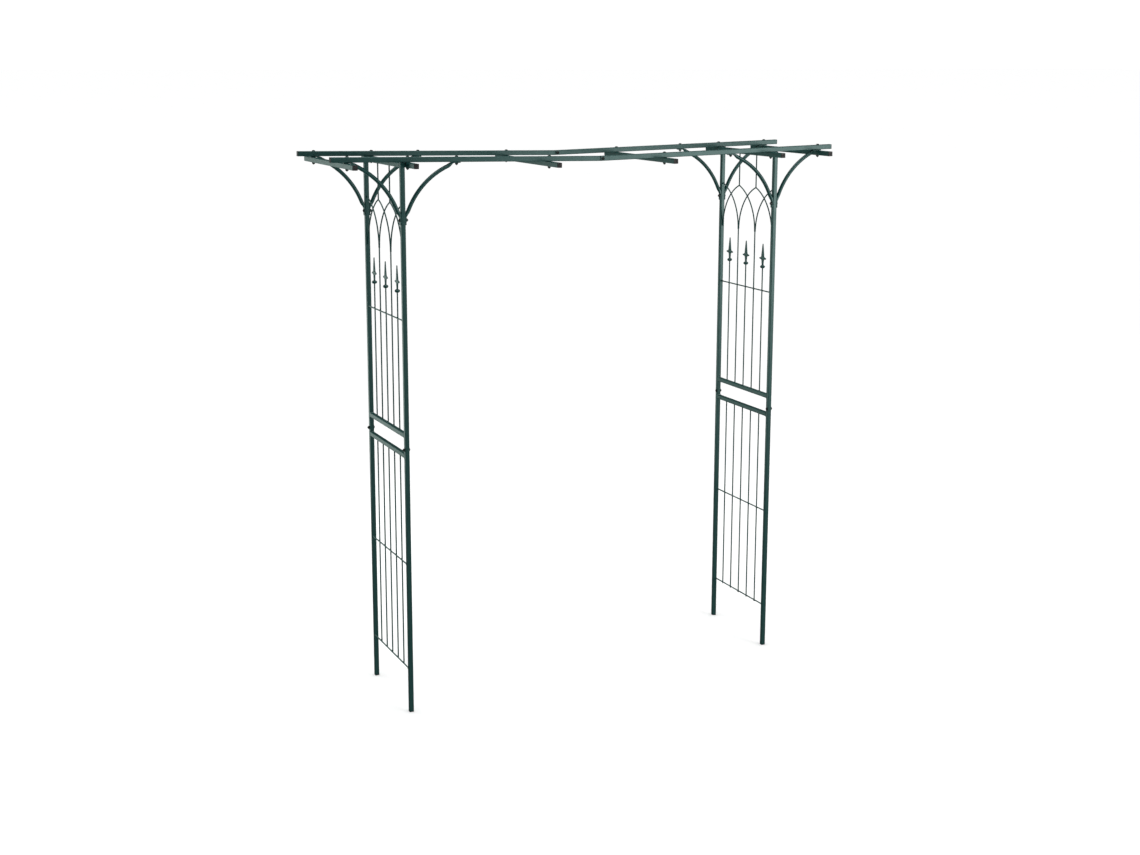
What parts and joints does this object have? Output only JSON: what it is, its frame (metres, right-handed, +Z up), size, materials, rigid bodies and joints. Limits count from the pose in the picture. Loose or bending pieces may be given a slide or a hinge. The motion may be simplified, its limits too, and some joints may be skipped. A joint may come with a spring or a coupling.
{
  "type": "metal trellis arch",
  "caption": "Free-standing flat-topped garden arch of square steel tube, with wire trellis sides, pointed arcade, spear finials and curved braces, for climbing plants.",
  "frame": {"origin": "on the ground, at the centre of the four feet and of the roof's plan", "axes": "+Z up, +X along the long roof beams, +Y through the passage from front to back"},
  "size_m": [2.022, 0.55, 2.0142],
  "materials": {
    "green_powder_coat": "satin dark green powder coat",
    "black_plastic": "matt moulded black",
    "bolt_steel": "dark satin"
  },
  "bodies": {
    "root": {"arcade_left": "green_powder_coat", "arcade_right": "green_powder_coat", "beam_back_left": "green_powder_coat", "beam_back_right": "green_powder_coat", "beam_front_left": "green_powder_coat", "beam_front_right": "green_powder_coat", "beam_splice_bolt_back": "bolt_steel", "beam_splice_bolt_front": "bolt_steel", "brace_bolt_back_left": "bolt_steel", "brace_bolt_back_right": "bolt_steel", "brace_bolt_front_left": "bolt_steel", "brace_bolt_front_right": "bolt_steel", "finial_back_left": "green_powder_coat", "finial_back_right": "green_powder_coat", "finial_front_left": "green_powder_coat", "finial_front_right": "green_powder_coat", "finial_middle_left": "green_powder_coat", "finial_middle_right": "green_powder_coat", "foot_cap_back_left": "black_plastic", "foot_cap_back_right": "black_plastic", "foot_cap_front_left": "black_plastic", "foot_cap_front_right": "black_plastic", "inner_cross_bar_left": "green_powder_coat", "inner_cross_bar_right": "green_powder_coat", "inward_brace_back_left": "green_powder_coat", "inward_brace_back_right": "green_powder_coat", "inward_brace_front_left": "green_powder_coat", "inward_brace_front_right": "green_powder_coat", "lower_lattice_left": "green_powder_coat", "lower_lattice_right": "green_powder_coat", "lower_panel_rail_left": "green_powder_coat", "lower_panel_rail_right": "green_powder_coat", "lower_post_back_left": "green_powder_coat", "lower_post_back_right": "green_powder_coat", "lower_post_front_left": "green_powder_coat", "lower_post_front_right": "green_powder_coat", "outer_cross_bar_left": "green_powder_coat", "outer_cross_bar_right": "green_powder_coat", "outward_brace_back_left": "green_powder_coat", "outward_brace_back_right": "green_powder_coat", "outward_brace_front_left": "green_powder_coat", "outward_brace_front_right": "green_powder_coat", "post_cross_bar_left": "green_powder_coat", "post_cross_bar_right": "green_powder_coat", "post_splice_bolt_back_left": "bolt_steel", "post_splice_bolt_back_right": "bolt_steel", "post_splice_bolt_front_left": "bolt_steel", "post_splice_bolt_front_right": "bolt_steel", "top_rail_left": "green_powder_coat", "top_rail_right": "green_powder_coat", "upper_lattice_left": "green_powder_coat", "upper_lattice_right": "green_powder_coat", "upper_panel_rail_left": "green_powder_coat", "upper_panel_rail_right": "green_powder_coat", "upper_post_back_left": "green_powder_coat", "upper_post_back_right": "green_powder_coat", "upper_post_front_left": "green_powder_coat", "upper_post_front_right": "green_powder_coat"}
  },
  "joints": []
}
